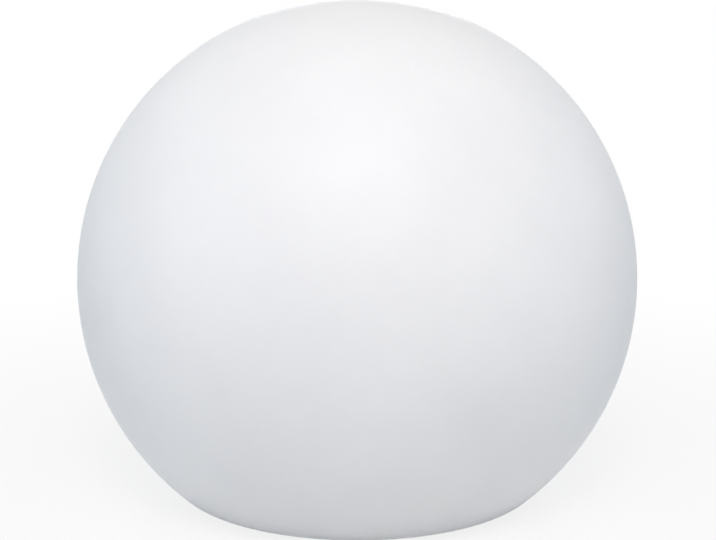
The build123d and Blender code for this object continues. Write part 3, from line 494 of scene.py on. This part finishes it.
def one_screw(length, head, shank, height):
    """The mesh of a screw that points up from its head's face at level 0."""
    turned = bmesh.new()
    lathe_into(turned, screw_outline(length, head, shank, height), screw_segments)
    screw = finished_piece("screw", turned)
    cutter = cross_cutter(head)
    cut = screw.modifiers.new("recess", "BOOLEAN")
    cut.operation = "DIFFERENCE"
    cut.solver = "EXACT"
    cut.use_self = True
    cut.object = cutter
    seen = bpy.context.evaluated_depsgraph_get()
    mesh = bpy.data.meshes.new_from_object(screw.evaluated_get(seen))
    for used in (screw, cutter):
        bpy.data.objects.remove(used)
    bm = bmesh.new()
    bm.from_mesh(mesh)
    thread_into(bm, shank, max(height, head - shank) + shank / 2, length - screw_tip)
    bmesh.ops.recalc_face_normals(bm, faces=bm.faces)
    bm.to_mesh(mesh)
    bm.free()
    return mesh


def screws(node, head, shank, height, down):
    """Copies of one screw at the places of a node's solids, each turned further than the last."""
    bm = bmesh.new()
    places = solids_of(node)
    single = one_screw(places[0][1].z - places[0][0].z, head, shank, height)
    for k, (low, high) in enumerate(places):
        middle = (low + high) / 2
        place = Matrix.Translation((middle.x, middle.y, high.z if down else low.z))
        flip = Matrix.Rotation(math.pi if down else 0, 4, "X")
        spin = Matrix.Rotation(math.radians(screw_spin * k), 4, "Z")
        start = len(bm.verts)
        bm.from_mesh(single)
        bm.verts.ensure_lookup_table()
        bmesh.ops.transform(bm, matrix=place @ flip @ spin, verts=bm.verts[start:])
    return finished_piece(node + "_cross", bm)


# node, radius of head and of shank, height of a pan head, whether the screw points down
screw_groups = [
    ("cover_screws", screw_head, screw_shank, low_pan_height, False),
    ("ring_screws", screw_head, screw_shank, 0, False),
    ("dome_screws", screw_head, screw_shank, 0, True),
    ("cradle_screws", screw_head, screw_shank, pan_height, False),
    ("board_screws", screw_head, screw_shank, pan_height, True),
    ("led_board_screws", screw_head, screw_shank, pan_height, True),
    ("retainer_screws", small_head, small_shank, small_pan_height, True),
]
for held, head, shank, height, down in screw_groups:
    stand_for(screws(held, head, shank, height, down), held)


# ---- light-emitting chips ---------------------------------------------------------------------------

led_side = 5.0 * mm
led_bezel = 0.5 * mm
led_sink = 0.25 * mm  # depth of the window, and the width of its slope


def led_chips():
    """Chips whose case has a flat bezel round a sunk yellow phosphor window."""
    bm = bmesh.new()
    for low, high in solids_of("led_chips"):
        middle = (low + high) / 2
        centred = middle.xy.length < mm
        angle = 0.0 if centred else math.atan2(middle.y, middle.x)
        place = (Matrix.Translation(middle) @ Matrix.Rotation(angle, 4, "Z")
                 @ Matrix.Diagonal((led_side, led_side, high.z - low.z, 1)))
        case = bmesh.ops.create_cube(bm, size=1, matrix=place)["verts"]
        sides = dict.fromkeys(f for v in case for f in v.link_faces)
        upper = [f for f in sides if f.calc_center_median().z > high.z - same_place]
        bmesh.ops.inset_individual(bm, faces=upper, thickness=led_bezel)
        bmesh.ops.inset_individual(bm, faces=upper, thickness=led_sink, depth=-led_sink)
        for face in upper:
            face.material_index = 1
    return finished_piece("led_packages", bm, (chip_case, phosphor))


stand_for(led_chips(), "led_chips")


# ---- chips with leads on the control board ----------------------------------------------------------

lead_reach = 0.9 * mm
lead_bend, lead_foot = 0.35, 0.63  # of the reach, where a lead turns down and where it lands
lead_width = 0.4 * mm
lead_thickness = 0.16 * mm
lead_pitch = 1.1 * mm
lead_shoulder = 0.45  # of the chip's height
case_gap = 0.1 * mm  # under the moulded case, and how far inside it a lead starts
case_bevel = 0.15 * mm


def chip_lead_into(bm, origin, outward, along, shoulder):
    """Adds one gull-wing lead, from the case down to the board at the origin's level."""
    line = [(-case_gap, shoulder), (lead_reach * lead_bend, shoulder), (lead_reach * lead_foot, 0),
            (lead_reach, 0)]
    rows = []
    for side in (-0.5, 0.5):
        for rise in (0, lead_thickness):
            rows.append([bm.verts.new(origin + outward * reach + along * side * lead_width
                                      + Vector((0, 0, level + rise))) for reach, level in line])
    faces = []
    for a, b in ((0, 1), (1, 3), (3, 2), (2, 0)):
        faces += strip_into(bm, rows[a], rows[b], closed=False)
    for end in (0, -1):
        faces.append(bm.faces.new([rows[k][end] for k in (0, 1, 3, 2)]))
    for face in faces:
        face.material_index = 1


def chip_packages():
    """Moulded cases with leads: on all sides of a square one, on the long sides of others."""
    bm = bmesh.new()
    for low, high in solids_of("driver_chips"):
        size = high - low
        square = abs(size.x - size.y) < mm
        across = [Vector((1, 0, 0)), Vector((0, 1, 0))] if square else [Vector((1, 0, 0))]
        shrink = sum(across, Vector()) * lead_reach
        box_into(bm, low + shrink + Vector((0, 0, case_gap)), high - shrink, case_bevel)
        ground = Vector((*((low + high) / 2).xy, low.z))
        for outward in [a * sign for a in across for sign in (-1, 1)]:
            along = Vector((outward.y, outward.x, 0))
            edge = abs(size.dot(outward)) / 2 - lead_reach
            room = abs(size.dot(along)) - 2 * abs(shrink.dot(along))
            count = int(room / lead_pitch)
            for k in range(count):
                offset = (k - (count - 1) / 2) * lead_pitch
                chip_lead_into(bm, ground + outward * edge + along * offset, outward, along,
                               size.z * lead_shoulder)
    return finished_piece("chip_packages", bm, (black_plastic, steel))


stand_for(chip_packages(), "driver_chips")


# ---- connectors and the ribbon cable ----------------------------------------------------------------

plug_inset = 0.45 * mm
plug_bevel = 0.25 * mm
rib_half_length, rib_half_width = 1.0 * mm, 0.36 * mm
rib_bevel = 0.12 * mm
conductor_count = 7
conductor_arc = (155, 25)  # degrees, from one valley between conductors to the next
conductor_steps = 4
ribbon_thickness = 1.2 * mm
ribbon_bend = 1.6 * mm
bend_steps = 8


def connector(node):
    """A board header with the plug of its cable pushed in."""
    low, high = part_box(node)
    middle = (low + high) / 2
    bm = bmesh.new()
    box_into(bm, low, Vector((high.x, high.y, middle.z)), plug_bevel)
    inset = Vector((plug_inset, plug_inset, 0))
    foot = Vector((low.x, low.y, middle.z - plug_inset))
    box_into(bm, foot + inset, high - inset, plug_bevel)
    size = high - low
    if size.x > size.y:
        rib = Vector((rib_half_length, rib_half_width, 0))
        out = Vector((0, size.y / 2 - plug_inset, 0))
    else:
        rib = Vector((rib_half_width, rib_half_length, 0))
        out = Vector((size.x / 2 - plug_inset, 0, 0))
    for side in (-out, out):
        place = Vector((middle.x, middle.y, 0)) + side
        box_into(bm, place - rib + Vector((0, 0, middle.z)),
                 place + rib + Vector((0, 0, high.z - plug_inset)), rib_bevel)
    return finished_piece(node + "_plug", bm)


def ribbon_section(width):
    """Points (across, through) along the upper side of a row of joined conductors."""
    pitch = width / conductor_count
    upper = []
    for k in range(conductor_count):
        middle = (k + 0.5) * pitch - width / 2
        upper += arc((middle, 0), pitch / 2, *conductor_arc, conductor_steps)
    return [(across, through * ribbon_thickness / pitch) for across, through in upper]


def ribbon_path(low, high):
    """Points (y, z, angle of the upper side) from the connector up, over and down to the board."""
    half = ribbon_thickness / 2
    top = high.z - half - ribbon_bend
    header_y = high.y - half
    path = [(header_y, low.z, 0)]
    for bend_y, first in ((header_y - ribbon_bend, 0), (low.y + half + ribbon_bend, 90)):
        bend = arc((bend_y, top), ribbon_bend, first, first + 90, bend_steps)
        path += [(y, z, first + 90 * k / bend_steps) for k, (y, z) in enumerate(bend)]
    path.append((low.y + half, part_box("led_board")[1].z, 180))
    return path


def ribbon_cable():
    """The flat cable: joined conductors, the first one marked in red."""
    low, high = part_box("led_ribbon")
    section = ribbon_section(high.x - low.x)
    bm = bmesh.new()
    rings = []
    for y, z, angle in ribbon_path(low, high):
        out = Vector((0, math.cos(math.radians(angle)), math.sin(math.radians(angle))))
        ring = [bm.verts.new(Vector((across, y, z)) + out * through) for across, through in section]
        ring += [bm.verts.new(Vector((across, y, z)) - out * through)
                 for across, through in reversed(section)]
        rings.append(ring)
    faces = []
    for a, b in zip(rings, rings[1:]):
        faces += strip_into(bm, a, b)
    for ring in (rings[0], rings[-1]):
        faces += strip_into(bm, ring[:len(section)], ring[:len(section) - 1:-1], closed=False)
    first_conductor = low.x + (high.x - low.x) / conductor_count
    for face in faces:
        face.material_index = 1 if face.calc_center_median().x < first_conductor else 0
    return finished_piece("ribbon_cable", bm, (lead_grey, insulation))


for held in ("led_header", "battery_header"):
    stand_for(connector(held), held)
stand_for(ribbon_cable(), "led_ribbon")


# ---- cells and leads in their two finishes ----------------------------------------------------------

cell_end_depth = 0.5 * mm


def two_finishes(node, name, is_second, materials):
    """A node's own form, with a second material where is_second holds for a face's middle."""
    bm = welded_copy(node)
    for face in bm.faces:
        face.material_index = int(is_second(face.calc_center_median()))
    stand_for(finished_piece(name, bm, materials), node)


cell_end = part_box("battery_cells")[1].x - cell_end_depth
two_finishes("battery_cells", "wrapped_cells", lambda p: abs(p.x) > cell_end, (wrap, steel))
two_finishes("battery_leads", "lead_pair", lambda p: p.y < 0, (insulation, black_insulation))


# ---- the sign on the button -------------------------------------------------------------------------

sign_radius = 2.7 * mm
sign_line = 0.6 * mm
sign_height = 0.25 * mm
sign_bevel = 0.08 * mm
sign_arc = (130, 410)  # degrees, with the gap where the bar is
sign_steps = 36


def power_sign():
    """A raised open ring and a bar on the button's face."""
    low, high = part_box("power_button")
    middle = (low + high) / 2
    levels = (low.z - sign_height, low.z + sign_height / 2)
    bm = bmesh.new()
    rows = []
    for radius in (sign_radius, sign_radius - sign_line):
        for level in levels:
            rows.append([bm.verts.new((x, y, level))
                         for x, y in arc(middle.xy, radius, *sign_arc, sign_steps)])
    for a, b in ((0, 1), (1, 3), (3, 2), (2, 0)):
        strip_into(bm, rows[a], rows[b], closed=False)
    for end in (0, -1):
        bm.faces.new([rows[k][end] for k in (0, 1, 3, 2)])
    half = sign_line / 2
    box_into(bm, Vector((middle.x - half, middle.y + half, levels[0])),
             Vector((middle.x + half, middle.y + sign_radius + half, levels[1])), sign_bevel)
    piece = finished_piece("power_sign", bm, (silicone,))
    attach(piece, "power_button")


power_sign()


# ---- floor, lights and camera -----------------------------------------------------------------------

floor_reach = 6.0
floor_tone = 0.80
white_share_near = 0.83  # of the floor's look close to the globe; far from it, all is plain white
shadow_reach = (0.16, 0.55)  # the floor's shadow fades out between these distances
sky_color, sky_strength = (0.80, 0.90, 1.0), 0.28
lamp_distance = 2.2
# name, degrees of azimuth and elevation from the globe's centre, metres of size, watts, colour
lamps = [
    ("wide_key", 0, 60, 1.6, 19.5, (1.0, 0.94, 0.905)),
    ("narrow_key", 0, 48, 0.5, 12.6, (1.0, 0.925, 0.92)),
    ("top_light", 0, 75, 0.8, 2.8, (1.0, 1.0, 0.92)),
    ("left_fill", -60, 10, 1.0, 5.6, (0.64, 0.80, 1.0)),
    ("right_fill", 60, 10, 1.0, 4.3, (0.68, 0.81, 1.0)),
    ("left_side", -90, 5, 1.2, 3.8, (0.92, 0.97, 1.0)),
    ("right_side", 90, 5, 1.2, 3.8, (0.92, 0.97, 1.0)),
    ("back_fill", 180, 4, 0.5, 16.0, (0.97, 0.98, 1.0)),
]
view_distance = 7 * globe_radius
view_elevation = 13.0  # degrees
aim_right, aim_up = 0.4 * mm, 4.3 * mm  # from the globe's centre to what the camera looks at
pixels_per_radius = 277.2
image_width = 716  # pixels
sensor_width = 36.0  # millimetres


def seen_directly(tree):
    """A 0..1 factor: the ray comes from the camera, a mirror or clear material."""
    path = tree.nodes.new("ShaderNodeLightPath")
    first = tree.nodes.new("ShaderNodeMath")
    first.operation = "MAXIMUM"
    second = tree.nodes.new("ShaderNodeMath")
    second.operation = "MAXIMUM"
    tree.links.new(path.outputs["Is Camera Ray"], first.inputs[0])
    tree.links.new(path.outputs["Is Glossy Ray"], first.inputs[1])
    tree.links.new(first.outputs[0], second.inputs[0])
    tree.links.new(path.outputs["Is Transmission Ray"], second.inputs[1])
    return second.outputs[0]


def make_floor():
    """A plain pale floor that shows white but keeps a soft part of the shadow."""
    mesh = bpy.data.meshes.new("floor")
    corners = [(x * floor_reach, y * floor_reach, 0) for x, y in ((-1, -1), (1, -1), (1, 1), (-1, 1))]
    mesh.from_pydata(corners, [], [(0, 1, 2, 3)])
    floor = bpy.data.objects.new("floor", mesh)
    bpy.context.scene.collection.objects.link(floor)
    made = bpy.data.materials.new("floor_paper")
    made.use_nodes = True
    tree = made.node_tree
    tree.nodes.remove(tree.nodes["Principled BSDF"])
    paper = tree.nodes.new("ShaderNodeBsdfDiffuse")
    paper.inputs["Color"].default_value = (floor_tone, floor_tone, floor_tone, 1)
    glow = tree.nodes.new("ShaderNodeEmission")
    place = tree.nodes.new("ShaderNodeTexCoord")
    reach = tree.nodes.new("ShaderNodeVectorMath")
    reach.operation = "LENGTH"
    tree.links.new(place.outputs["Object"], reach.inputs[0])
    share = tree.nodes.new("ShaderNodeMapRange")
    share.interpolation_type = "SMOOTHSTEP"
    share.inputs["From Min"].default_value, share.inputs["From Max"].default_value = shadow_reach
    share.inputs["To Min"].default_value = white_share_near
    tree.links.new(reach.outputs["Value"], share.inputs["Value"])
    shown = tree.nodes.new("ShaderNodeMixShader")
    tree.links.new(share.outputs["Result"], shown.inputs["Fac"])
    tree.links.new(paper.outputs[0], shown.inputs[1])
    tree.links.new(glow.outputs[0], shown.inputs[2])
    choice = tree.nodes.new("ShaderNodeMixShader")
    tree.links.new(seen_directly(tree), choice.inputs["Fac"])
    tree.links.new(paper.outputs[0], choice.inputs[1])
    tree.links.new(shown.outputs[0], choice.inputs[2])
    tree.links.new(choice.outputs[0], tree.nodes["Material Output"].inputs["Surface"])
    mesh.materials.append(made)


def make_world():
    """An even sky that lights the object, plain white where it is seen directly."""
    world = bpy.data.worlds.new("studio")
    world.use_nodes = True
    tree = world.node_tree
    sky = tree.nodes["Background"]
    sky.inputs["Color"].default_value = (*sky_color, 1)
    sky.inputs["Strength"].default_value = sky_strength
    white = tree.nodes.new("ShaderNodeBackground")
    white.inputs["Color"].default_value = (1, 1, 1, 1)
    white.inputs["Strength"].default_value = 1.0
    choice = tree.nodes.new("ShaderNodeMixShader")
    tree.links.new(seen_directly(tree), choice.inputs["Fac"])
    tree.links.new(sky.outputs[0], choice.inputs[1])
    tree.links.new(white.outputs[0], choice.inputs[2])
    tree.links.new(choice.outputs[0], tree.nodes["World Output"].inputs["Surface"])
    bpy.context.scene.world = world


def around_centre(azimuth, elevation, distance):
    """A place seen from the globe's centre; azimuth 0 is towards the camera, -Y."""
    a, e = math.radians(azimuth), math.radians(elevation)
    return Vector((distance * math.sin(a) * math.cos(e), -distance * math.cos(a) * math.cos(e),
                   globe_centre + distance * math.sin(e)))


def aimed(name, data, place, target):
    """A linked lamp or camera at a place, turned to look at a target."""
    made = bpy.data.objects.new(name, data)
    made.location = place
    made.rotation_euler = (target - place).to_track_quat("-Z", "Y").to_euler()
    bpy.context.scene.collection.objects.link(made)
    return made


def make_lamp(name, azimuth, elevation, size, power, color):
    """A square soft box aimed at the globe's centre."""
    data = bpy.data.lights.new(name, "AREA")
    data.shape = "SQUARE"
    data.size = size
    data.energy = power
    data.color = color
    aimed(name, data, around_centre(azimuth, elevation, lamp_distance), Vector((0, 0, globe_centre)))


def make_camera():
    """The photograph's view, from a little above the globe."""
    data = bpy.data.cameras.new("camera")
    data.sensor_width = sensor_width
    data.lens = pixels_per_radius / globe_radius * view_distance / image_width * sensor_width
    bpy.context.scene.camera = aimed("camera", data, around_centre(0, view_elevation, view_distance),
                                     Vector((aim_right, 0, globe_centre + aim_up)))


make_floor()
make_world()
for lamp in lamps:
    make_lamp(*lamp)
make_camera()
bpy.context.scene.view_settings.view_transform = "Standard"
